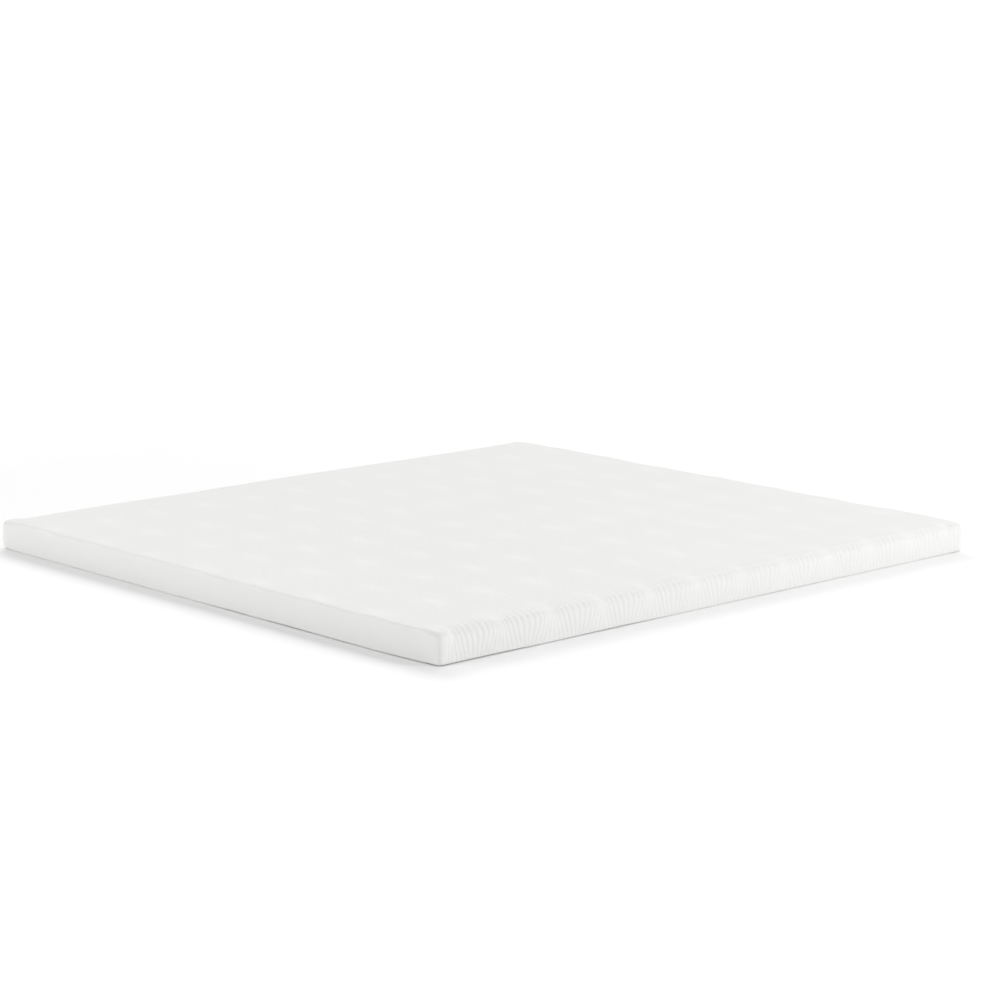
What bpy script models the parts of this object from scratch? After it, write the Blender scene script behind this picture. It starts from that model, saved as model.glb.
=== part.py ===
"""Mattress topper for a 180 x 200 cm bed: a foam pad in a fitted knitted cover, and the underside panel.

Metres, +Z up. The origin is on the surface that the topper lies on, under its middle. +X runs along the
length, and +Y along the width. The cover's ribs run along Y over the top and turn down the two long side
faces, where they stand upright. Towards those two faces the top falls away a little. The pad is one filled
solid. The underside panel is a flat cut piece, set in from the pad's faces, and the line between the two is
the seam round the bottom edge.
"""

import math
from collections import namedtuple

import bmesh
import bpy
from mathutils import Vector
from mathutils.geometry import delaunay_2d_cdt

# Driving dimensions; the length and width are taken over the corners, where the topper is fullest
LENGTH = 2.000
WIDTH = 1.800
EDGE_HEIGHT = 0.083
CORNER_RADIUS = 0.020
TOP_EDGE_RADIUS = 0.012
BOTTOM_EDGE_RADIUS = 0.005
BOTTOM_CORNER_RADIUS = 0.010
PANEL_THICKNESS = 0.003
PANEL_MARGIN = 0.002
GAP = 0.0003

# How the filled pad swells
CROWN = 0.0015
SIDE_BULGE = 0.0015
CORNER_BULGE = 0.0040
CORNER_REACH = 0.060
CORNER_SEAM_DEPTH = 0.0012
SHOULDER_DROP = 0.003
BULGE_AT_BOTTOM_EDGE = 0.4
BULGE_AT_TOP_EDGE = 0.6
UNEVEN = 0.0007

# The cover's knitted pattern: wavy ribs, and smooth swollen eyes on a grid
RIBS_PER_REPEAT = 12
REPEAT_X = 0.1715
REPEAT_Y = 0.2230
RIB_PITCH = REPEAT_X / RIBS_PER_REPEAT
RIB_DEPTH = 0.0014
RIB_FADE = 0.030
WAVE_REACH = 0.013
WAVE_X = 0.040 - LENGTH / 2
WAVE_Y = -0.042 - WIDTH / 2
EYE_X = 0.034 - LENGTH / 2
EYE_Y = 0.021 - WIDTH / 2
EYE_HALF_X = 0.034
EYE_HALF_Y = 0.046
EYE_SWELL = 0.0010
EYE_SMOOTHING = 0.85

# How finely the faces are divided
ARC_STEPS = 2
CORNER_STEPS = 6
COARSE_STEP = REPEAT_Y / 6
TOP_STEPS_PER_REPEAT = 4
TOP_GRID_INSET = 0.050

UNDERSIDE = PANEL_THICKNESS + GAP
QUARTER = math.pi / 2
TAU = 2 * math.pi
UP = Vector((0.0, 0.0, 1.0))
SHARP_ANGLE = math.radians(50)

# A row of the pad's wall: the edge that it rounds, how far round it has turned, whether it shows the ribs,
# and its shares of the top's swell and of the side's bulge
Row = namedtuple("Row", "edge turn ribs swell bulge")

# The slow waves that make the cover uneven: each one's length, its shift from one seed to the next, its share
Wave = namedtuple("Wave", "length shift share")
UNEVEN_WAVES = (Wave(0.61, 1.7, 0.6), Wave(0.37, 2.9, 0.4))


def smooth_step(value):
    """0 below 0 and 1 above 1, with a smooth rise between."""
    t = min(max(value, 0.0), 1.0)
    return t * t * (3 - 2 * t)


def blend(start, end, share):
    return start + (end - start) * share


def to_nearest(value, start, repeat):
    """The signed distance to the nearest point of a row that begins at start and repeats."""
    return (value - start + repeat / 2) % repeat - repeat / 2


def eye(x, y):
    """1 in the middle of an eye of the pattern, falling to 0 between the eyes."""
    across = to_nearest(x, EYE_X, REPEAT_X) / EYE_HALF_X
    along = to_nearest(y, EYE_Y, REPEAT_Y) / EYE_HALF_Y
    return math.exp(-(across**2) - along**2)


def wave(x, y):
    """How far a rib that starts at x is pushed sideways where it passes y."""
    fans = math.sin(TAU * (x - WAVE_X) / REPEAT_X)
    return -WAVE_REACH * fans * math.sin(TAU * (y - WAVE_Y) / REPEAT_Y)


def uneven(along, seed):
    """A slow wander, from -1 to 1, different for each seed."""
    return sum(slow.share * math.sin(TAU * along / slow.length + slow.shift * seed) for slow in UNEVEN_WAVES)


def top_height(x, y):
    """The height of the pad's top face: a slight crown, the eyes, and a slow unevenness."""
    crown = (1 - (2 * x / LENGTH) ** 2) * (1 - (2 * y / WIDTH) ** 2)
    sway = uneven(x, 1) * uneven(y, 2)
    return EDGE_HEIGHT + CROWN * crown + EYE_SWELL * (eye(x, y) - 0.5) + UNEVEN * sway


def wall_rows():
    """The rows of the pad's wall, from the underside up to the rim of the top face."""
    rows = []
    for step in range(ARC_STEPS + 1):
        share = step / ARC_STEPS
        rows.append(Row("bottom", QUARTER * share, step == ARC_STEPS, 0.0, BULGE_AT_BOTTOM_EDGE * share))
    rows.append(Row("middle", 0.0, True, 0.5, 1.0))
    for step in range(ARC_STEPS + 1):
        share = step / ARC_STEPS
        rows.append(Row("top", QUARTER * share, True, 1.0, BULGE_AT_TOP_EDGE * (1 - share)))
    return rows


def row_place(row, near):
    """How far in from the wall and how high a row lies. near is 1 at a corner and 0 along a side."""
    drop, rise = 1 - math.cos(row.turn), 1 - math.sin(row.turn)
    if row.edge == "bottom":
        radius = blend(BOTTOM_EDGE_RADIUS, BOTTOM_CORNER_RADIUS, near)
        return radius * rise, UNDERSIDE + radius * drop
    if row.edge == "top":
        return TOP_EDGE_RADIUS * drop, EDGE_HEIGHT - TOP_EDGE_RADIUS * rise
    return 0.0, blend(UNDERSIDE, EDGE_HEIGHT, 0.5)


def row_facing(row, out):
    """The way that a row's cloth faces, and its ribs stand up: outward, turning upward round the top edge."""
    if row.edge == "top":
        return out * math.cos(row.turn) + UP * math.sin(row.turn)
    return out


def plain_stations(reach):
    """Evenly spread points along a side without ribs, each with no relief."""
    steps = round(2 * reach / COARSE_STEP)
    return [(blend(-reach, reach, i / steps), 0.0) for i in range(steps + 1)]


def ribbed_stations(reach, cloth_y):
    """A groove and a ridge for each rib along a long side, leaning with the wave, each with its relief.

    cloth_y is where the row lies on the cover, measured along the cloth as if it went on flat past the edge.
    """
    count = 2 * round(2 * reach / RIB_PITCH)
    stations = []
    for i in range(count + 1):
        x = blend(-reach, reach, i / count)
        inside = smooth_step((reach - abs(x)) / RIB_FADE)
        level = RIB_DEPTH / 2 if i % 2 else -RIB_DEPTH / 2
        relief = level * inside * (1 - EYE_SMOOTHING * eye(x, cloth_y))
        stations.append((x + wave(x, cloth_y) * inside, relief))
    return stations


def side_stations(row, side, reach):
    """The points of a row along one side, as its distance along the side and its relief."""
    long_side = side % 2 == 0
    if not (row.ribs and long_side):
        return plain_stations(reach)
    inset, height = row_place(row, 0.0)
    cloth_y = WIDTH / 2 - inset + EDGE_HEIGHT - height
    if side == 0:
        return ribbed_stations(reach, -cloth_y)
    return [(-x, relief) for x, relief in reversed(ribbed_stations(reach, cloth_y))]


def side_frame(side):
    """A side's outward and forward directions, its distance from the middle, and half its straight length."""
    turn = side * QUARTER
    out = Vector((math.sin(turn), -math.cos(turn), 0.0))
    forward = Vector((math.cos(turn), math.sin(turn), 0.0))
    if side % 2 == 0:
        return out, forward, WIDTH / 2, LENGTH / 2 - CORNER_RADIUS
    return out, forward, LENGTH / 2, WIDTH / 2 - CORNER_RADIUS


def side_points(row, side, margin):
    """The points of a row along one side."""
    out, forward, distance, reach = side_frame(side)
    points = []
    for along, relief in side_stations(row, side, reach):
        near = smooth_step(1 - (reach - abs(along)) / CORNER_REACH)
        inset, height = row_place(row, near)
        if row.edge == "top" and side % 2 == 0:
            height -= SHOULDER_DROP * (1 - near)
        bulge = row.bulge * blend(SIDE_BULGE, CORNER_BULGE, near) - CORNER_BULGE
        wander = UNEVEN * uneven(along, side + 3) * (1 - near)
        outward = distance - inset - margin + bulge + wander
        points.append(forward * along + out * outward + UP * height + row_facing(row, out) * relief)
    return points


def corner_points(row, side, margin):
    """The points of a row round the corner that ends a side, with the corner seam drawn in."""
    out, forward, distance, reach = side_frame(side)
    inset, height = row_place(row, 1.0)
    centre = forward * reach + out * (distance - CORNER_RADIUS) + UP * height
    radius = CORNER_RADIUS - inset - margin - (1 - row.bulge) * CORNER_BULGE
    points = []
    for step in range(1, CORNER_STEPS):
        angle = QUARTER * step / CORNER_STEPS
        seam = CORNER_SEAM_DEPTH if 2 * step == CORNER_STEPS else 0.0
        points.append(centre + (out * math.cos(angle) + forward * math.sin(angle)) * (radius - seam))
    return points


def wall_loop(row, margin=0.0):
    """One row of the wall as points round the pad, anticlockwise from above."""
    points = []
    for side in range(4):
        points += side_points(row, side, margin) + corner_points(row, side, margin)
    for point in points:
        point.z += row.swell * (top_height(point.x, point.y) - EDGE_HEIGHT)
    return points


def join_loops(bm, lower, upper):
    """Fills the strip between two closed loops with triangles, always taking the shorter span."""
    i = j = 0
    while i < len(lower) or j < len(upper):
        a, b = lower[i % len(lower)], upper[j % len(upper)]
        next_a, next_b = lower[(i + 1) % len(lower)], upper[(j + 1) % len(upper)]
        along_lower = (next_a.co - b.co).length
        along_upper = (next_b.co - a.co).length
        if j == len(upper) or (i < len(lower) and along_lower < along_upper):
            bm.faces.new((a, next_a, b))
            i += 1
        else:
            bm.faces.new((a, next_b, b))
            j += 1


def top_grid():
    """The points inside the top face, in step with the pattern, so that each eye has one at its middle."""
    points = []
    step_x, step_y = REPEAT_X / TOP_STEPS_PER_REPEAT, REPEAT_Y / TOP_STEPS_PER_REPEAT
    for i in range(math.ceil(LENGTH / step_x)):
        for j in range(math.ceil(WIDTH / step_y)):
            x, y = EYE_X + i * step_x, EYE_Y + j * step_y
            if abs(x) < LENGTH / 2 - TOP_GRID_INSET and abs(y) < WIDTH / 2 - TOP_GRID_INSET:
                points.append(Vector((x, y)))
    return points


def fill_top(bm, rim):
    """Covers the top inside the rim with triangles that pass through the pattern's grid."""
    flat = [vert.co.to_2d() for vert in rim] + top_grid()
    border = [(i, (i + 1) % len(rim)) for i in range(len(rim))]
    inside_border = 1
    tiny = 1e-7
    placed, _, faces, *_ = delaunay_2d_cdt(flat, border, [], inside_border, tiny)
    verts = list(rim)
    for point in placed[len(rim) :]:
        verts.append(bm.verts.new((point.x, point.y, top_height(point.x, point.y))))
    for face in faces:
        bm.faces.new([verts[i] for i in face])


def new_material(name, colour, roughness):
    material = bpy.data.materials.new(name)
    material.use_nodes = True
    shader = material.node_tree.nodes["Principled BSDF"]
    shader.inputs["Base Color"].default_value = (*colour, 1.0)
    shader.inputs["Roughness"].default_value = roughness
    shader.inputs["Metallic"].default_value = 0.0
    return material


def new_object(name, bm, material):
    """A named object from a bmesh, shaded smooth away from its sharp edges."""
    bmesh.ops.recalc_face_normals(bm, faces=bm.faces)
    mesh = bpy.data.meshes.new(name)
    bm.to_mesh(mesh)
    bm.free()
    mesh.shade_smooth()
    mesh.set_sharp_from_angle(angle=SHARP_ANGLE)
    mesh.materials.append(material)
    obj = bpy.data.objects.new(name, mesh)
    bpy.context.scene.collection.objects.link(obj)
    return obj


def build_pad():
    """The filled pad in its cover: a ribbed wall, a softly crowned top and a flat underside."""
    bm = bmesh.new()
    loops = [[bm.verts.new(point) for point in wall_loop(row)] for row in wall_rows()]
    for lower, upper in zip(loops, loops[1:]):
        join_loops(bm, lower, upper)
    bm.faces.new(list(reversed(loops[0])))
    fill_top(bm, loops[-1])
    return new_object("topper_pad", bm, new_material("knitted_cover", (0.80, 0.80, 0.79), 0.9))


def build_underside_panel():
    """The flat panel that closes the cover underneath and lies on the bed."""
    bm = bmesh.new()
    outline = wall_loop(wall_rows()[0], PANEL_MARGIN)
    base = bm.faces.new([bm.verts.new((point.x, point.y, 0.0)) for point in outline])
    raised = bmesh.ops.extrude_face_region(bm, geom=[base])["geom"]
    upper_verts = [item for item in raised if isinstance(item, bmesh.types.BMVert)]
    bmesh.ops.translate(bm, verts=upper_verts, vec=(0.0, 0.0, PANEL_THICKNESS))
    return new_object("underside_panel", bm, new_material("underside_cloth", (0.72, 0.72, 0.71), 0.95))


def main():
    for obj in list(bpy.data.objects):
        bpy.data.objects.remove(obj)
    build_pad()
    build_underside_panel()


main()
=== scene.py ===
"""How the mattress topper looks: its cover with the raised knitted ribs, the underside panel and the seam.

The cover is one net of points in the cloth's own coordinates. Columns run along the ribs, over the top and
down the two long side faces, and rows run across them and down the two short ones. Each point gets a place
on the rounded slab, the way that the cloth faces there, and a relief along it.
"""

import math

import bmesh
import bpy
import numpy as np
from mathutils import Matrix, Vector

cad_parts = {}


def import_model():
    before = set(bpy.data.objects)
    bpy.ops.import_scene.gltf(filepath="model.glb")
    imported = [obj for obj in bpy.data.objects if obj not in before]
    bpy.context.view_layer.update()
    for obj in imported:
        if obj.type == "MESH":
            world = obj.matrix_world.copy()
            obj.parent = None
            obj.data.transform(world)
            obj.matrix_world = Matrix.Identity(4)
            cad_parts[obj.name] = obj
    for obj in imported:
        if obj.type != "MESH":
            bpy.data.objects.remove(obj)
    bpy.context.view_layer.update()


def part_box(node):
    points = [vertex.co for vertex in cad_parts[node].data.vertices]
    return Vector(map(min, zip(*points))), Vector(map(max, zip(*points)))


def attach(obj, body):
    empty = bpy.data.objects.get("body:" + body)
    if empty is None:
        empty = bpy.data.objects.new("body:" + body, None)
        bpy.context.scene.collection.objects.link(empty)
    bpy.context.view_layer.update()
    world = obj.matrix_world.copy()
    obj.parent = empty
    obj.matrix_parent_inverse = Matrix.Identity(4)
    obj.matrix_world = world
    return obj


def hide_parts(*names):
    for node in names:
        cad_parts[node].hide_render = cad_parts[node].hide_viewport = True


# The slab's own sizes in metres, over which the cover is drawn
EDGE_HEIGHT = 0.083
SEAM_HEIGHT = 0.0033
CORNER_RADIUS = 0.020
CORNER_SQUARENESS = 0.6
TOP_EDGE_RADIUS = 0.012
SHORT_EDGE_POWER = 0.42
SHOULDER_TURN = math.radians(33)
SHOULDER_REACH = 0.040
SOFT_SHOULDER = math.radians(9)
SOFT_SHOULDER_AT = -0.90
SOFT_SHOULDER_REACH = 0.12
BOTTOM_EDGE_RADIUS = 0.0015
BOTTOM_CORNER_RADIUS = 0.0035
SIDE_BULGE = 0.0015
CORNER_BULGE = 0.0040
BULGE_FULLNESS = 0.7
CORNER_REACH = 0.060
CROWN = 0.0015
SHORT_EDGE_DROP = 0.0012
SHORT_EDGE_DROP_REACH = 0.018

# The knitted pattern: wavy ribs, and smooth swollen eyes on a grid
REPEAT_X = 0.1715
REPEAT_Y = 0.2230
RIBS_PER_REPEAT = 12
RIB_PITCH = REPEAT_X / RIBS_PER_REPEAT
RIB_DEPTH = 0.0012
RIB_SHARPNESS = 2.2
RIB_COLUMNS = (0.0, 0.12, 0.30, 0.50, 0.70, 0.88)
WAVE_REACH = 0.013
WAVE_FROM_X = 0.040
WAVE_FROM_Y = -0.042
EYE_FROM_X = 0.034
EYE_FROM_Y = 0.021
EYE_HALF_X = 0.034
EYE_HALF_Y = 0.046
EYE_SWELL = 0.0010
EYE_SMOOTHING = 0.85
EDGE_PLAIN = 0.012
EDGE_FADE = 0.026
LUMP_HEIGHT = 0.0016
LUMP_LENGTH = 0.032
LUMP_AT = 0.003
LUMP_REACH = 0.014
TOP_RIBS = 0.35
TOP_RIBS_START = 0.014
TOP_RIBS_REACH = 0.030

# The underside cloth: its rim's rows, by how far in from the edge and up from the floor, from above to below
RIM_ROWS = (
    (0.0300, 0.0025), (0.0130, 0.0025), (0.0118, 0.0028), (0.0014, 0.0028),
    (0.0004, 0.0023), (0.0000, 0.0014), (0.0004, 0.0005), (0.0014, 0.0000),
    (0.0118, 0.0000), (0.0130, 0.0004), (0.0300, 0.0004),
)
PANEL_CORNER = 0.0125
LEAST_PANEL_CORNER = 0.001
PANEL_CORNER_STEPS = 8
PANEL_SIDE_STEPS = 48
PANEL_WAVES = {"height": 0.0003, "length": 0.16, "seed": 5}

# The stitches of each knit: the widths of a wale and of a course, and their form
COVER_STITCHES = (0.0013, 0.0010)
UNDERSIDE_STITCHES = (0.0011, 0.0009)
STITCH_SLANT = 0.55
STITCH_DEPTH = 0.7
WALE_SQUARENESS = 4.0
KNIT_DEPTH = 0.00010
SEAM_STITCH = 0.006
SEAM_PULL = 1.2
SEAM_PULL_REACH = 0.003

# The finish of each cloth, and the light and shade painted into the cover's colour; a noise has the size of
# its features in metres, its amount and its detail
COVER_COLOUR = (0.835, 0.8345, 0.8245)
COVER_PATCHES = ((0.35, 0.010, 2.0), (0.030, 0.006, 2.0), (0.0007, 0.020, 3.0))
COVER_FUZZ = (0.0009, 0.35, 3.0)
# Painted shade: how much darker the cover's colour is made in the ribs' grooves, where shade falls
GROOVE_PAINTED_SHADE = 0.06
# Painted light: how much lighter the colour is made on the smooth eyes, which lack the grooves' shade
EYE_PAINTED_LIGHT = 0.025
# Painted light on the rolled top edges, where the cloth turns from the top down to the sides
SHORT_ROLL_PAINTED_LIGHT = 0.045
LONG_ROLL_PAINTED_LIGHT = 0.034
LONG_ROLL_TILT = 0.38
# The underside's grey is partly its own colour and partly painted shade for the dark line at the cover's foot
UNDERSIDE_GREY_AND_PAINTED_SHADE = (0.60, 0.60, 0.59)
UNDERSIDE_PATCHES = ((0.20, 0.015, 2.0), (0.0008, 0.03, 3.0))
UNDERSIDE_FUZZ = (0.0008, 0.35, 2.0)
NOISE_ROUGHNESS = 0.6
CLOTH_ROUGHNESS = 0.9
CLOTH_ROUGHNESS_NOISE = (0.004, 0.08, 2.0)
CLOTH_SPECULAR = 0.2
CLOTH_SHEEN = 0.12
CLOTH_SHEEN_ROUGHNESS = 0.45

# The corner seams: their crease, the dimple above them and the puckers beside them
SEAM_DEPTH = 0.0030
SEAM_REACH = 0.0070
SLACK_SEAM_REACH = 0.0280
CREASE_START = TOP_EDGE_RADIUS / 3
DIMPLE_DEPTH = 0.0020
DIMPLE_REACH = 0.0200
PUCKER_DEPTH = 0.0004
PUCKER_LENGTH = 0.017
PUCKER_REACH = 0.014

# The corner where the cover sits slack, and what it does to the pattern, the bottom edge and the short side
SLACK_AT = (-1.0, -0.9)
SLACK = 0.80
SLACK_REACH = 0.60
CORNER_LIFT = 0.60
LIFT_REACH = 0.45
TUCK = 0.008
TUCK_REACH = 0.12

# How unevenly the cover sits, and how far its bottom edge sags
SAG_DEPTH = 0.0030
LONG_SIDE_SAG = {"mean": 1.15, "lift": 0.90, "height": 0.20, "length": 0.25, "seed": 1086}
SHORT_SIDE_SAG = {"mean": 1.00, "lift": 0.60, "height": 0.20, "length": 0.16, "seed": 391}
CLOSING_INSET = 0.0045
RELIEF_END = 0.1
LEAST_UNEVENNESS = 0.25
SLOW_WAVES = {"height": 0.0007, "length": 0.45, "seed": 3}
SHORT_WAVES = {"height": 0.0002, "length": 0.11, "seed": 8}
WAVE_COUNT = 14
WAVE_LENGTHS = (0.7, 1.5)

# How finely the net is divided
ROW_STEP = 0.0265
EDGE_BAND = 0.055
EDGE_BAND_STEPS = 6
EDGE_BAND_POWER = 1.5
CORNER_STEPS = 3
ROLL_STEPS = 6
SIDE_STEPS = 5
BOTTOM_STEPS = 3

# The camera, fitted to the photograph's view
CAMERA_AT = (-5.2279, -5.5441, 1.6092)
CAMERA_YAW = math.radians(46.374)
CAMERA_PITCH = math.radians(10.904)
CAMERA_ROLL = math.radians(0.501)
CAMERA_LENS = 100.34
CAMERA_SENSOR = 36.0

# The light: an even white room, and softboxes with a size, a power in watts, a place and what they face. Near
# the topper the floor is lit by them, and from FLOOR_NEAR to FLOOR_FAR it turns into the white backdrop.
ROOM_STRENGTH = 0.486
BACKDROP_STRENGTH = 1.05
FLOOR_RADIUS = 9.0
FLOOR_NEAR = 1.9
FLOOR_FAR = 3.0
FLOOR_SIDES = 128
FLOOR_WHITE = 0.97
FLOOR_ROUGHNESS = 0.9
FLOOR_DROP = 0.0002
SOFTBOXES = {
    "key_right": (7.0, 322.0, (8.0, 0.0, 13.86), (0.0, 0.0, 0.0)),
    "key_side": (7.0, 337.0, (10.92, 6.30, 9.85), (0.0, 0.0, 0.0)),
    "key_back": (7.0, 820.0, (6.78, 11.75, 8.48), (0.0, 0.0, 0.0)),
    "fill_left": (2.0, 30.0, (-4.5, 0.5, 2.0), (-1.0, 0.0, 0.0)),
    "fill_left_low": (1.0, 18.0, (-4.5, 1.4, 0.7), (-1.0, 0.4, 0.04)),
    "fill_front": (1.0, 15.5, (0.3, -5.5, 0.55), (0.3, -0.9, 0.04)),
    "fill_front_low": (1.2, 24.0, (2.6, -5.2, 0.9), (0.6, -0.9, 0.04)),
    "fill_front_high": (2.0, 59.0, (1.5, -5.0, 3.2), (0.5, -0.9, 0.04)),
    "fill_right": (2.5, 21.0, (3.2, -4.8, 2.4), (0.3, -0.9, 0.0)),
    "floor_front": (2.5, 22.0, (-3.8, -3.9, 2.6), (-3.8, -3.9, 0.0)),
}

TAU = 2 * math.pi
QUARTER = math.pi / 2
UP = np.array([0.0, 0.0, 1.0])
FAR_FROM_SEAM = np.array([0.0, 1.0])


# ---------------------------------------------------------------- the pattern and the cloth's unevenness


def smooth_step(value):
    """0 below 0 and 1 above 1, with a smooth rise between."""
    t = np.clip(value, 0.0, 1.0)
    return t * t * (3 - 2 * t)


def edge_fade(distance):
    """0 in the plain band along a corner's seam, and 1 where the knit has its whole relief."""
    return smooth_step((distance - EDGE_PLAIN) / EDGE_FADE)


def to_nearest(value, start, repeat):
    """The signed distance to the nearest point of a row that begins at start and repeats."""
    return (value - start + repeat / 2) % repeat - repeat / 2


def slackness(x, y):
    """How near a place is to the corner where the cover sits slack: 1 there, falling to 0."""
    return np.exp(-np.hypot(x - SLACK_AT[0], y - SLACK_AT[1]) / SLACK_REACH)


def pattern_strength(x, y):
    """How strongly the pattern stands out: 1, and more where the cover sits slack."""
    return 1 + SLACK * slackness(x, y)


def tuck_in(points):
    """Moves the cloth inward from the short side at the slack corner, where it is drawn in."""
    away = np.hypot(points[..., 0] - SLACK_AT[0], points[..., 1] - SLACK_AT[1])
    points[..., 0] += TUCK * np.exp(-((away / TUCK_REACH) ** 2))


def eye(x, y, half):
    """1 in the middle of an eye of the pattern, falling to 0 between the eyes."""
    across = to_nearest(x, EYE_FROM_X - half.x, REPEAT_X) / EYE_HALF_X
    along = to_nearest(y, EYE_FROM_Y - half.y, REPEAT_Y) / EYE_HALF_Y
    return np.exp(-(across**2) - along**2)


def edge_lump(y, length, half):
    """The lump of an eye that lies over a short side's top edge; length is the cloth's beyond the rim."""
    along = to_nearest(y, EYE_FROM_Y - half.y, REPEAT_Y) / LUMP_LENGTH
    return LUMP_HEIGHT * np.exp(-(along**2) - ((length - LUMP_AT) / LUMP_REACH) ** 2)


def wave(x, y, half):
    """How far a rib that starts at x is pushed sideways where it passes y."""
    fans = np.sin(TAU * (x - WAVE_FROM_X + half.x) / REPEAT_X)
    return -WAVE_REACH * fans * np.sin(TAU * (y - WAVE_FROM_Y + half.y) / REPEAT_Y)


def rib_level(phase):
    """A rib's profile: 1 on its round crest, and -1 in the narrow groove at phase 0."""
    from_crest = np.abs(phase - 0.5) * 2
    return 1 - 2 * from_crest**RIB_SHARPNESS


def slow_waves(points, height, length, seed):
    """A smooth unevenness in space, made of waves of about one length that run in all directions."""
    rng = np.random.default_rng(seed)
    total = np.zeros(points.shape[:-1])
    for _ in range(WAVE_COUNT):
        direction = rng.normal(size=3)
        direction /= np.linalg.norm(direction)
        wavelength = length * rng.uniform(*WAVE_LENGTHS)
        total += np.sin(points @ direction * TAU / wavelength + rng.uniform(0, TAU))
    return height * total * math.sqrt(2 / WAVE_COUNT)


def sag_share(points, near, mean, lift, height, length, seed):
    """How far the bottom edge has sagged to the floor, from 0 to 1, less near the slack corner.

    near is 1 at a corner, where the sides that meet have to sag alike.
    """
    slack = np.exp(-np.linalg.norm(points[:, :2] - SLACK_AT, axis=1) / LIFT_REACH)
    along = mean - lift * slack + slow_waves(points, height, length, seed)
    return np.clip(along + (1 - CORNER_LIFT * slack - along) * near, 0, 1)


def unevenness(points):
    """How far the cover stands out or in, apart from its pattern."""
    return slow_waves(points, **SLOW_WAVES) + slow_waves(points, **SHORT_WAVES)


# ---------------------------------------------------------------- the cover's net


def rib_columns(rim):
    """The columns' places across the flat top: each rib's groove, its two flanks and its crest."""
    ribs = round(2 * rim.x / RIB_PITCH)
    phases = np.tile(RIB_COLUMNS, ribs)
    starts = np.repeat(np.arange(ribs), len(RIB_COLUMNS))
    places = -rim.x + (starts + phases) * 2 * rim.x / ribs
    return np.append(places, rim.x), np.append(phases, 0.0)


def plain_rows(rim, corner):
    """The rows' places along the flat top, closer together towards the edges and round the corners."""
    middle_end = rim.y - EDGE_BAND
    steps = round(2 * middle_end / ROW_STEP)
    middle = np.linspace(-middle_end, middle_end, steps + 1)
    steps_out = np.linspace(1, 0, EDGE_BAND_STEPS + 1)[1:] ** EDGE_BAND_POWER
    band = rim.y - corner - (EDGE_BAND - corner) * steps_out
    round_it = np.linspace(rim.y - corner, rim.y, CORNER_STEPS + 1)[1:]
    edge = np.concatenate([band, round_it])
    return np.concatenate([-edge[::-1], middle, edge])


class Slab:
    """The rounded slab that the cover is drawn over, worked out from the box of its solid."""

    def __init__(self, low, high):
        self.half = Vector(((high.x - low.x) / 2, (high.y - low.y) / 2))
        inset = CORNER_BULGE + TOP_EDGE_RADIUS
        self.rim = self.half - Vector((inset, inset))
        self.rim_corner = CORNER_RADIUS - inset
        self.columns, self.phases = rib_columns(self.rim)
        self.rows = plain_rows(self.rim, self.rim_corner)

    def top_height(self, x, y):
        """The top without its relief: a slight crown, with a soft drop at the short edges and the corners."""
        crown = CROWN * (1 - (x / self.half.x) ** 2) * (1 - (y / self.half.y) ** 2)
        drop = SHORT_EDGE_DROP * np.exp((np.abs(x) - self.rim.x) / SHORT_EDGE_DROP_REACH)
        dimple = DIMPLE_DEPTH * np.exp(-((self.from_corner(x, y) / DIMPLE_REACH) ** 2))
        return EDGE_HEIGHT + crown - drop - dimple

    def from_corner(self, x, y):
        """The distance to the nearest corner of the rim's rectangle."""
        return np.hypot(self.rim.x - np.abs(x), self.rim.y - np.abs(y))

    def shoulder(self, x):
        """The long sides' rounded edge: the turn that it has made at the rim, and its radius.

        It is softer round SOFT_SHOULDER_AT, and at the corners it is a plain rounding from the rim on.
        """
        from_corner = self.rim.x - self.rim_corner - np.abs(x)
        softer = SOFT_SHOULDER * np.exp(-(((x - SOFT_SHOULDER_AT) / SOFT_SHOULDER_REACH) ** 2))
        turn = (SHOULDER_TURN + softer) * smooth_step(from_corner / SHOULDER_REACH)
        return turn, TOP_EDGE_RADIUS / (1 - np.sin(turn))

    def wave_at(self, x, cloth_y):
        """The wave of the ribs, which dies out towards the short sides."""
        return wave(x, cloth_y, self.half) * edge_fade(self.rim.x - np.abs(x))

    def round_corners(self, x, y):
        """Moves the points in each square corner of the rim's rectangle into a quarter disc."""
        u = (np.abs(x) - self.rim.x + self.rim_corner) / self.rim_corner
        v = (np.abs(y) - self.rim.y + self.rim_corner) / self.rim_corner
        corner = (u > 0) & (v > 0)
        u, v = np.where(corner, u, 0), np.where(corner, v, 0)
        in_x = (u - u * np.sqrt(1 - v**2 / 2)) * self.rim_corner
        in_y = (v - v * np.sqrt(1 - u**2 / 2)) * self.rim_corner
        return x - np.sign(x) * in_x, y - np.sign(y) * in_y


def pattern_relief(slab, x, y, phases, ribs):
    """The relief of the knit at a place on the flat cloth: its ribs, by their share, and its eyes."""
    eyes = eye(x, y, slab.half)
    ridge = RIB_DEPTH / 2 * rib_level(phases) * (1 - EYE_SMOOTHING * eyes) * ribs
    return ridge * pattern_strength(x, y) + EYE_SWELL * (eyes - 0.5)


def long_roll_painted_light(tilt):
    """The painted light over a long side's shoulder: how much lighter the cloth is painted there, most at one
    tilt.
    """
    return LONG_ROLL_PAINTED_LIGHT * np.clip(1 - np.abs(tilt / LONG_ROLL_TILT - 1), 0, 1)


def short_roll_painted_light(faces_out, faces_up):
    """The same painted light over a short side's top edge; it is greatest where the cloth faces 35 degrees
    upward.
    """
    greatest = 2 / (3 * math.sqrt(3))
    return SHORT_ROLL_PAINTED_LIGHT / greatest * faces_out**2 * np.clip(faces_up, 0, 1)


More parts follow.
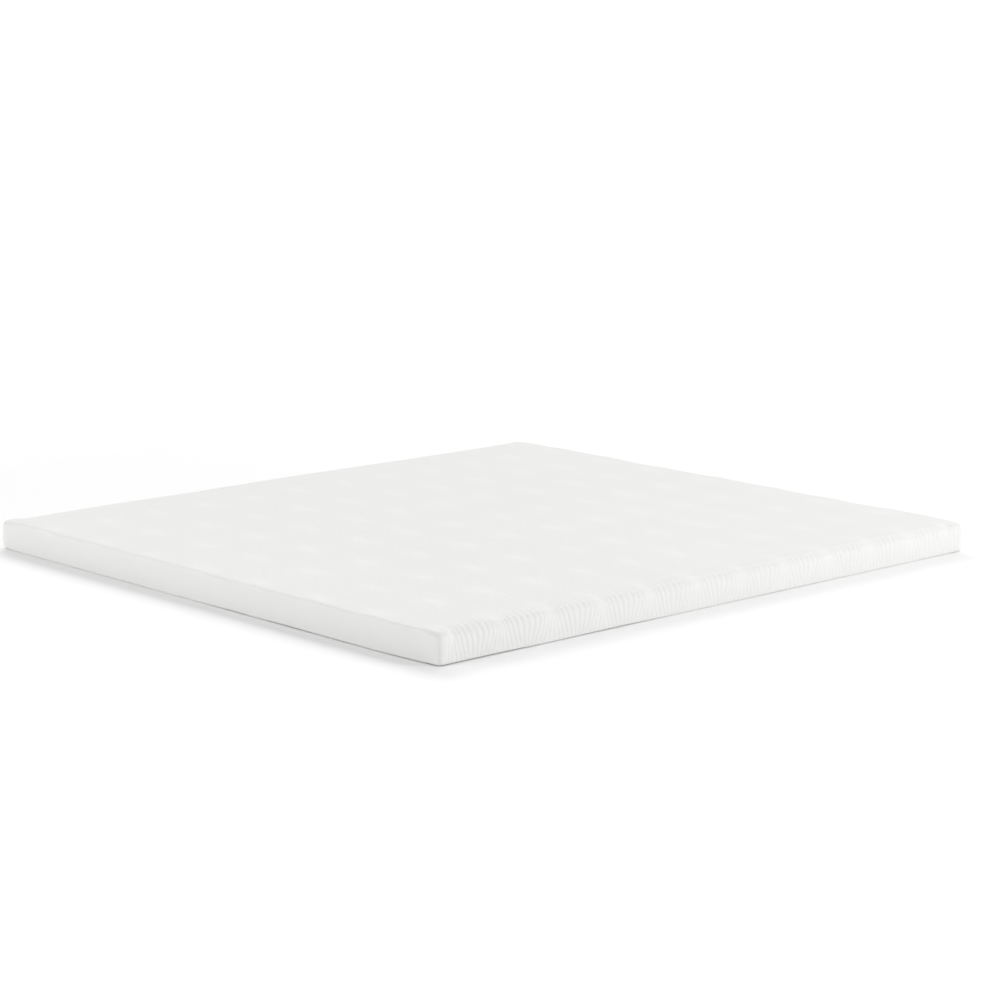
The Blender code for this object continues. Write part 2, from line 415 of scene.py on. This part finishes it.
def cloth_looks(slab, x, y, phases, ribs, fade, painted_light):
    """The rib level, from 1 on a crest to -1 in a groove, and the painted light: how much lighter the cloth
    is painted on the eyes and the rolled top edges.
    """
    eyes = eye(x, y, slab.half)
    strength = fade * pattern_strength(x, y)
    level = rib_level(phases) * (1 - EYE_SMOOTHING * eyes) * ribs * strength
    return np.stack([level, EYE_PAINTED_LIGHT * eyes * strength + painted_light], axis=-1)


def top_patch(slab):
    """The net over the top face, by row and column: points, cloth and edge coordinates, and looks."""
    x, y = np.meshgrid(slab.columns, slab.rows)
    phases = np.broadcast_to(slab.phases, x.shape)
    placed_x, placed_y = slab.round_corners(x, y)
    placed_x = placed_x + slab.wave_at(x, y)
    corner = slab.from_corner(x, y)
    fade = edge_fade(corner)
    rim_turn, radius = slab.shoulder(x)
    inward = slab.rim.y - np.abs(y)
    tilt = np.clip(np.sin(rim_turn) - inward / radius, 0, 1)
    upright = np.sqrt(1 - tilt**2)
    height = slab.top_height(x, y) - radius * (1 - upright)
    points = np.stack([placed_x, placed_y, height], axis=-1)
    share = 1 - (1 - TOP_RIBS) * smooth_step((inward - TOP_RIBS_START) / TOP_RIBS_REACH)
    relief = pattern_relief(slab, x, y, phases, share) * fade + unevenness(points)
    relief = relief + edge_lump(y, np.abs(x) - slab.rim.x, slab.half) * fade
    points[..., 1] += relief * tilt * np.sign(y)
    points[..., 2] += relief * upright
    cloth = np.stack([placed_x, placed_y], axis=-1)
    edge = np.broadcast_to(FAR_FROM_SEAM, cloth.shape)
    # Painted light over the long sides' shoulders, fading out towards the corners
    painted_light = long_roll_painted_light(tilt) * smooth_step(corner / CORNER_REACH)
    return points, cloth, edge, cloth_looks(slab, x, y, phases, share, fade, painted_light)


def wall_profile(near, rim_turn, radius, power):
    """How far out and down the wall's cloth goes from the rim, for each row and each point along it.

    near is 1 at a corner and 0 along a side. The top edge's rounding has a turn that it has made at the rim,
    a radius and a power, which is 1 for a round edge and less for a squarer one. Returns the distances out
    and down, the cloth's length from the rim, and how far it faces outward and upward, by row and by point.
    """
    bottom = BOTTOM_EDGE_RADIUS + (BOTTOM_CORNER_RADIUS - BOTTOM_EDGE_RADIUS) * near
    height = EDGE_HEIGHT - SEAM_HEIGHT
    straight = height - radius - bottom
    rows = []
    for share in np.linspace(0, 1, ROLL_STEPS + 1):
        turn = rim_turn + (QUARTER - rim_turn) * share
        sine, cosine = np.sin(turn), np.clip(np.cos(turn), 0, 1)
        out, down = radius * (sine**power - np.sin(rim_turn) ** power), radius * (1 - cosine**power)
        slope = np.hypot(sine ** (2 - power), cosine ** (2 - power))
        rows.append((out, down, sine ** (2 - power) / slope, cosine ** (2 - power) / slope))
    for share in np.linspace(0, 1, SIDE_STEPS + 1)[1:-1]:
        rows.append((TOP_EDGE_RADIUS, radius + straight * share, 1.0, 0.0))
    for turn in np.linspace(0, QUARTER, BOTTOM_STEPS + 1):
        out = TOP_EDGE_RADIUS - bottom * (1 - math.cos(turn))
        rows.append((out, height - bottom + bottom * math.sin(turn), math.cos(turn), -math.sin(turn)))
    out, down = rows[-1][:2]
    rows.append((out - CLOSING_INSET, down, 0.0, -1.0))
    out, down, faces_out, faces_up = (
        np.array([np.broadcast_to(row[i], near.shape) for row in rows]) for i in range(4)
    )
    steps = np.hypot(np.diff(out, axis=0), np.diff(down, axis=0))
    length = np.concatenate([np.zeros((1, len(near))), np.cumsum(steps, axis=0)])
    level = np.clip((height - down) / height, 0, 1)
    bulge = SIDE_BULGE + (CORNER_BULGE - SIDE_BULGE) * near
    fullness = np.sin(math.pi * level) ** BULGE_FULLNESS
    out += bulge * (fullness - fullness[0])
    return out, down, length, faces_out, faces_up


class Side:
    """One side of the slab: its path along the rim, and how the wall faces at each of its points.

    Side 0 is the front, and the others follow anticlockwise as seen from above.
    """

    def __init__(self, slab, number):
        turn = number * QUARTER
        out_way = np.array([math.sin(turn), -math.cos(turn), 0.0])
        self.along_way = np.array([math.cos(turn), math.sin(turn), 0.0])
        self.number = number
        self.is_long = number % 2 == 0
        self.along = slab.columns if self.is_long else slab.rows
        corner = slab.rim_corner
        reach, distance = (slab.rim.x, slab.rim.y) if self.is_long else (slab.rim.y, slab.rim.x)
        v = np.clip((np.abs(self.along) - reach + corner) / corner, 0, 1)
        self.angle = np.arctan2(v * math.sqrt(0.5), np.sqrt(1 - v**2 / 2)) * np.sign(self.along)
        self.facing = np.outer(np.cos(self.angle), out_way) + np.outer(np.sin(self.angle), self.along_way)
        centre_along = np.clip(self.along, corner - reach, reach - corner)
        self.centre = np.outer(centre_along, self.along_way) + (distance - corner) * out_way
        to_corner = reach - corner - np.abs(centre_along)
        self.near = smooth_step(1 - to_corner / CORNER_REACH)
        self.seam_away = to_corner + CORNER_RADIUS * (math.pi / 4 - np.abs(self.angle))

    def profile(self, slab):
        """This side's wall_profile: a long side has a soft shoulder, and a short one a squarer edge."""
        ones = np.ones_like(self.near)
        if self.is_long:
            rim_turn, radius = slab.shoulder(self.along * self.along_way[0])
            return wall_profile(self.near, rim_turn, radius, ones)
        power = SHORT_EDGE_POWER + (1 - SHORT_EDGE_POWER) * self.near
        return wall_profile(self.near, 0 * ones, TOP_EDGE_RADIUS * ones, power)

    def cloth(self, slab, length):
        """The cloth's coordinates down the wall, its shift sideways with the wave, and its ribs.

        The ribs are their phases, and 1 where the wall has ribs or 0 where it is plain.
        """
        sign = -1.0 if self.number in (0, 3) else 1.0
        if self.is_long:
            x = np.broadcast_to(self.along * self.along_way[0], length.shape)
            y = sign * (slab.rim.y + length)
            shift = slab.wave_at(x, y) * self.along_way[0]
            return x, y, shift, np.broadcast_to(slab.phases, length.shape), 1.0
        x = sign * (slab.rim.x + length)
        y = np.broadcast_to(self.along * self.along_way[1], length.shape)
        return x, y, np.zeros(length.shape), np.full(length.shape, 0.5), 0.0


def seam_relief(side, points, length, height_share, relief_share):
    """The crease of the corner seams, and the puckers beside them."""
    slack = 0 if side.is_long else slackness(points[0, :, 0], points[0, :, 1])
    reach = SEAM_REACH + (SLACK_SEAM_REACH - SEAM_REACH) * slack
    crease = SEAM_DEPTH * np.exp(-((side.seam_away / reach) ** 2))
    crease = crease * np.sin(math.pi * np.clip(height_share, 0, 1)) * np.minimum(1, length / CREASE_START)
    pucker = PUCKER_DEPTH * np.sin(TAU * length / PUCKER_LENGTH) * np.exp(-side.seam_away / PUCKER_REACH)
    return pucker * relief_share - crease


def wall_patch(slab, side, rim_points):
    """The net down one side face: points, cloth and edge coordinates, and looks.

    rim_points are the top face's own points along this side, with which the wall begins.
    """
    out, down, length, faces_out, faces_up = side.profile(slab)
    cloth_x, cloth_y, shift, phases, ribs = side.cloth(slab, length)
    height_share = 1 - down / down[-1]
    from_rim = slab.rim_corner + out * (1 + CORNER_SQUARENESS * (1 / np.cos(side.angle) - 1))
    points = side.centre + side.facing * from_rim[..., None] + shift[..., None] * side.along_way
    rim_height = slab.top_height(points[0, :, 0], points[0, :, 1])
    points[..., 2] = EDGE_HEIGHT - down + height_share * (rim_height - EDGE_HEIGHT)

    fade = edge_fade(side.seam_away)
    relief = pattern_relief(slab, cloth_x, cloth_y, phases, ribs)
    if not side.is_long:
        relief = relief + edge_lump(cloth_y, length, slab.half)
    relief_share = smooth_step(height_share / RELIEF_END)
    relief = relief * fade * relief_share
    relief = relief + unevenness(points) * np.maximum(height_share, LEAST_UNEVENNESS)
    relief = relief + seam_relief(side, points, length, height_share, relief_share)
    points = points + (side.facing * faces_out[..., None] + UP * faces_up[..., None]) * relief[..., None]

    sag = sag_share(points[0], side.near, **(LONG_SIDE_SAG if side.is_long else SHORT_SIDE_SAG))
    points[..., 2] -= sag * SAG_DEPTH * np.clip(-faces_up, 0, 1)
    points[-1, :, 2] = SEAM_HEIGHT
    points[0] = rim_points

    cloth = np.stack([cloth_x + shift * side.along_way[0], cloth_y], axis=-1)
    round_it = side.number * 2 * slab.half.y + np.broadcast_to(side.along, length.shape)
    edge = np.stack([round_it, length[-1] - length], axis=-1)
    # Painted light over the rolled top edge, none at the corners
    painted_light = long_roll_painted_light(faces_out) if side.is_long else short_roll_painted_light(faces_out, faces_up)
    looks = cloth_looks(slab, cloth_x, cloth_y, phases, ribs, fade, painted_light * (1 - side.near))
    return points, cloth, edge, looks


def patch_faces(rows, columns, first):
    """The quads of a net of that many rows and columns of points, whose first point has that index."""
    index = first + np.arange(rows * columns).reshape(rows, columns)
    corners = [index[:-1, :-1], index[:-1, 1:], index[1:, 1:], index[1:, :-1]]
    return np.stack(corners, axis=-1).reshape(-1, 4)


def rim_of(points, side):
    """The points of the top's net along one side, in the order in which the wall's points run."""
    if side == 0:
        return points[0]
    if side == 1:
        return points[:, -1]
    if side == 2:
        return points[-1, ::-1]
    return points[::-1, 0]


def build_cover(slab):
    """The whole cover as one closed mesh.

    Its UV map cloth holds the knit's coordinates, and edge the places round the bottom edge and up from it,
    all in metres. Its attribute rib holds the rib level, and its other attribute the painted light; they are
    the two of cloth_looks.
    """
    top = top_patch(slab)
    patches = [top] + [wall_patch(slab, Side(slab, i), rim_of(top[0], i)) for i in range(4)]
    faces, bottom, first = [], [], 0
    for number, patch in enumerate(patches):
        rows, columns = patch[0].shape[:2]
        quads = patch_faces(rows, columns, first)
        faces.append(quads[:, ::-1] if number else quads)
        first += rows * columns
        if number:
            bottom += range(first - columns, first - 1)
    points, cloth, edge, looks = (
        np.concatenate([patch[i].reshape(-1, patch[i].shape[-1]) for patch in patches]) for i in range(4)
    )
    tuck_in(points)
    faces = [*np.concatenate(faces).tolist(), bottom[::-1]]
    mesh = bpy.data.meshes.new("topper_cover")
    mesh.from_pydata(points.tolist(), [], faces)
    loop_points = np.array([i for face in faces for i in face])
    set_uv(mesh, "cloth", cloth[loop_points])
    set_uv(mesh, "edge", edge[loop_points])
    for i, name in enumerate(("rib", "painted_light")):
        values = looks[:, i].astype(np.float32)
        mesh.attributes.new(name, "FLOAT", "POINT").data.foreach_set("value", values)
    weld(mesh)
    mesh.shade_smooth()
    return link("topper_cover", mesh)


def set_uv(mesh, name, places):
    """Gives the mesh a UV map, with a place for each corner of each face."""
    mesh.uv_layers.new(name=name).data.foreach_set("uv", places.astype(np.float32).ravel())


def weld(mesh, distance=0.00002):
    """Joins the points that the patches of a net share."""
    bm = bmesh.new()
    bm.from_mesh(mesh)
    bmesh.ops.remove_doubles(bm, verts=bm.verts, dist=distance)
    bm.to_mesh(mesh)
    bm.free()


def link(name, data):
    obj = bpy.data.objects.new(name, data)
    bpy.context.scene.collection.objects.link(obj)
    return obj


# ---------------------------------------------------------------- the underside cloth


def ring(half, corner, inset):
    """The points round a rectangle with round corners, that far inside its edge, anticlockwise from above."""
    points = []
    radius = corner - min(inset, corner - LEAST_PANEL_CORNER)
    reach = half - Vector((inset + radius, inset + radius))
    for number in range(4):
        turn = number * QUARTER
        x_sign, y_sign = ((1, -1), (1, 1), (-1, 1), (-1, -1))[number]
        next_x, next_y = ((1, 1), (-1, 1), (-1, -1), (1, -1))[number]
        centre = Vector((x_sign * reach.x, y_sign * reach.y))
        for step in range(PANEL_CORNER_STEPS + 1):
            angle = turn - QUARTER + QUARTER * step / PANEL_CORNER_STEPS
            points.append(centre + radius * Vector((math.cos(angle), math.sin(angle))))
        start, end = points[-1], Vector((next_x * reach.x, next_y * reach.y))
        end += radius * Vector((math.cos(turn), math.sin(turn)))
        points += [start.lerp(end, step / PANEL_SIDE_STEPS) for step in range(1, PANEL_SIDE_STEPS)]
    return np.array(points)


def build_underside(low, high):
    """The cloth under the foam: a flat sheet whose edge is turned in and rolled."""
    half = Vector(((high.x - low.x) / 2, (high.y - low.y) / 2))
    rows = []
    for inset, height in RIM_ROWS:
        flat = ring(half, PANEL_CORNER, inset + PANEL_WAVES["height"] * 2)
        places = np.column_stack([flat, np.full(len(flat), height)])
        outward = flat / np.linalg.norm(flat, axis=1)[:, None]
        places[:, :2] += outward * slow_waves(places * (1, 1, 0), **PANEL_WAVES)[:, None]
        rows.append(places)
    count = len(rows[0])
    points = np.concatenate(rows)
    tuck_in(points)
    faces = []
    for row in range(len(rows) - 1):
        for i in range(count):
            j = (i + 1) % count
            this, next_row = row * count, (row + 1) * count
            faces.append([this + i, next_row + i, next_row + j, this + j])
    faces.append(list(range(count)))
    faces.append(list(range(len(points) - count, len(points)))[::-1])
    mesh = bpy.data.meshes.new("underside_cloth")
    mesh.from_pydata(points.tolist(), [], faces)
    loop_points = np.array([i for face in faces for i in face])
    set_uv(mesh, "cloth", points[loop_points, :2])
    mesh.shade_smooth()
    return link("underside_cloth", mesh)


# ---------------------------------------------------------------- materials


class Graph:
    """A material and its nodes."""

    def __init__(self, name):
        self.material = bpy.data.materials.new(name)
        self.material.use_nodes = True
        self.tree = self.material.node_tree
        self.shader = self.tree.nodes["Principled BSDF"]

    def put(self, socket, value):
        """Gives a socket a value, or another node's output."""
        if isinstance(value, bpy.types.NodeSocket):
            self.tree.links.new(value, socket)
        else:
            socket.default_value = value

    def set(self, name, value):
        self.put(self.shader.inputs[name], value)

    def node(self, kind, inputs, output=0, **settings):
        """Adds a node and returns one of its outputs. inputs go by a socket's name or number."""
        node = self.tree.nodes.new("ShaderNode" + kind)
        for name, value in settings.items():
            setattr(node, name, value)
        for name, value in inputs.items():
            self.put(node.inputs[name], value)
        return node.outputs[output]

    def math(self, operation, *values):
        return self.node("Math", dict(enumerate(values)), operation=operation)

    def total(self, *values):
        """The sum of several outputs."""
        sum_of = values[0]
        for value in values[1:]:
            sum_of = self.math("ADD", sum_of, value)
        return sum_of

    def noise(self, places, size, amount, detail):
        """A noise with features of that size in metres, which runs between minus and plus amount."""
        inputs = {"Vector": places, "Scale": 1 / size, "Detail": detail, "Roughness": NOISE_ROUGHNESS}
        return self.math("MULTIPLY_ADD", self.node("TexNoise", inputs), 2 * amount, -amount)

    def places(self):
        """The surface's own coordinates, in metres."""
        return self.node("TexCoord", {}, output="Object")

    def map_axes(self, name):
        """The two coordinates of a UV map."""
        split = self.node("SeparateXYZ", {0: self.node("UVMap", {}, uv_map=name)}).node
        return split.outputs[0], split.outputs[1]


def knit_height(graph, wale, course):
    """A plain knit's height: V-shaped stitches in wales, from 0 between the yarns to 1 on them."""
    x, y = graph.map_axes("cloth")
    across = graph.math("FRACT", graph.math("DIVIDE", x, wale))
    from_middle = graph.math("ABSOLUTE", graph.math("MULTIPLY_ADD", across, 2.0, -1.0))
    along = graph.math("MULTIPLY_ADD", from_middle, STITCH_SLANT, graph.math("DIVIDE", y, course))
    yarn = graph.math("MULTIPLY_ADD", graph.math("COSINE", graph.math("MULTIPLY", along, TAU)), 0.5, 0.5)
    between = graph.math("SUBTRACT", 1.0, graph.math("POWER", from_middle, WALE_SQUARENESS))
    stitches = graph.math("MULTIPLY_ADD", yarn, STITCH_DEPTH, 1 - STITCH_DEPTH)
    return graph.math("MULTIPLY", stitches, between)


def finish_cloth(graph, colour, shade, height):
    """What both cloths have: a colour multiplied by the shade (random tone, and on the cover painted shade
    and painted light too), a matt fuzzy skin, and a relief.
    """
    tint = graph.node("VectorMath", {0: colour, "Scale": shade}, operation="SCALE")
    graph.set("Base Color", tint)
    uneven = graph.noise(graph.places(), *CLOTH_ROUGHNESS_NOISE)
    graph.set("Roughness", graph.math("ADD", CLOTH_ROUGHNESS, uneven))
    graph.set("Specular IOR Level", CLOTH_SPECULAR)
    graph.set("Sheen Weight", CLOTH_SHEEN)
    graph.set("Sheen Roughness", CLOTH_SHEEN_ROUGHNESS)
    bump = graph.node("Bump", {"Height": height, "Distance": KNIT_DEPTH, "Strength": 1.0})
    graph.set("Normal", bump)
    return graph.material


def cover_material():
    """A white double knit, with painted shade in the ribs' grooves and painted light on its eyes and rolled
    top edges.
    """
    graph = Graph("ribbed_knit")
    places = graph.places()
    level = graph.node("Attribute", {}, output="Fac", attribute_name="rib")
    groove = graph.math("MAXIMUM", graph.math("MULTIPLY", level, -1.0), 0.0)
    # The painted light on the eyes and the rolled top edges
    painted_light = graph.node("Attribute", {}, output="Fac", attribute_name="painted_light")
    # Painted shade in the grooves, deeper where the pattern stands out more
    groove_painted_shade = graph.math("MULTIPLY_ADD", groove, -GROOVE_PAINTED_SHADE, 1.0)
    shade = graph.total(groove_painted_shade, painted_light, *(graph.noise(places, *patches) for patches in COVER_PATCHES))
    round_edge, up = graph.map_axes("edge")
    pulls = graph.math("COSINE", graph.math("MULTIPLY", round_edge, TAU / SEAM_STITCH))
    near_seam = graph.math("EXPONENT", graph.math("DIVIDE", up, -SEAM_PULL_REACH))
    height = graph.total(
        knit_height(graph, *COVER_STITCHES),
        graph.noise(places, *COVER_FUZZ),
        graph.math("MULTIPLY", graph.math("MULTIPLY", pulls, near_seam), SEAM_PULL),
    )
    return finish_cloth(graph, COVER_COLOUR, shade, height)


def underside_material():
    """A plain knit, greyer than the cover's; the grey is partly its own and partly painted shade for the dark
    line under the cover's bottom edge.
    """
    graph = Graph("plain_knit")
    places = graph.places()
    shade = graph.total(1.0, *(graph.noise(places, *patches) for patches in UNDERSIDE_PATCHES))
    height = graph.total(knit_height(graph, *UNDERSIDE_STITCHES), graph.noise(places, *UNDERSIDE_FUZZ))
    return finish_cloth(graph, UNDERSIDE_GREY_AND_PAINTED_SHADE, shade, height)


# ---------------------------------------------------------------- stage


def build_floor():
    """A white floor, whose far part looks as bright as the backdrop, so that no edge shows between them."""
    mesh = bpy.data.meshes.new("floor")
    turns = np.arange(FLOOR_SIDES) * TAU / FLOOR_SIDES
    rim = np.column_stack([np.cos(turns), np.sin(turns), np.zeros(FLOOR_SIDES)]) * FLOOR_RADIUS
    mesh.from_pydata(rim.tolist(), [], [list(range(FLOOR_SIDES))])
    floor = link("floor", mesh)
    floor.location.z = -FLOOR_DROP
    graph = Graph("studio_floor")
    graph.set("Base Color", (FLOOR_WHITE, FLOOR_WHITE, FLOOR_WHITE, 1.0))
    graph.set("Roughness", FLOOR_ROUGHNESS)
    distance = graph.node("VectorMath", {0: graph.places()}, output="Value", operation="LENGTH")
    far = graph.node("MapRange", {"Value": distance, "From Min": FLOOR_NEAR, "From Max": FLOOR_FAR})
    seen = graph.node("LightPath", {}, output="Is Camera Ray")
    glow = graph.node("Emission", {"Strength": BACKDROP_STRENGTH})
    share = graph.math("MULTIPLY", far, seen)
    mixed = graph.node("MixShader", {0: share, 1: graph.shader.outputs["BSDF"], 2: glow})
    graph.put(graph.tree.nodes["Material Output"].inputs["Surface"], mixed)
    mesh.materials.append(graph.material)


def build_camera():
    data = bpy.data.cameras.new("camera")
    data.lens = CAMERA_LENS
    data.sensor_width = CAMERA_SENSOR
    camera = link("camera", data)
    look = Matrix.Rotation(CAMERA_YAW - QUARTER, 4, "Z") @ Matrix.Rotation(QUARTER - CAMERA_PITCH, 4, "X")
    camera.matrix_world = Matrix.Translation(CAMERA_AT) @ look @ Matrix.Rotation(CAMERA_ROLL, 4, "Z")
    bpy.context.scene.camera = camera


def build_lights():
    """The room, which the camera sees as the white backdrop, and the softboxes."""
    world = bpy.data.worlds.new("studio")
    bpy.context.scene.world = world
    world.use_nodes = True
    tree = world.node_tree
    room = tree.nodes["Background"]
    room.inputs["Color"].default_value = (1.0, 1.0, 1.0, 1.0)
    seen = tree.nodes.new("ShaderNodeLightPath").outputs["Is Camera Ray"]
    strength = tree.nodes.new("ShaderNodeMath")
    strength.operation = "MULTIPLY_ADD"
    strength.inputs[1].default_value = BACKDROP_STRENGTH - ROOM_STRENGTH
    strength.inputs[2].default_value = ROOM_STRENGTH
    tree.links.new(seen, strength.inputs[0])
    tree.links.new(strength.outputs[0], room.inputs["Strength"])
    for name, (size, power, place, target) in SOFTBOXES.items():
        data = bpy.data.lights.new(name, "AREA")
        data.shape = "DISK"
        data.size = size
        data.energy = power
        box = link(name, data)
        box.location = place
        box.rotation_euler = (Vector(target) - Vector(place)).to_track_quat("-Z", "Y").to_euler()


def main():
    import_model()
    slab = Slab(*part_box("topper_pad"))
    cover = build_cover(slab)
    cover.data.materials.append(cover_material())
    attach(cover, "root")
    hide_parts("topper_pad")
    panel_low, panel_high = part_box("underside_panel")
    underside = build_underside(panel_low, panel_high)
    underside.data.materials.append(underside_material())
    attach(underside, "root")
    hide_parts("underside_panel")
    build_floor()
    build_camera()
    build_lights()
    bpy.context.scene.view_settings.view_transform = "Standard"


main()
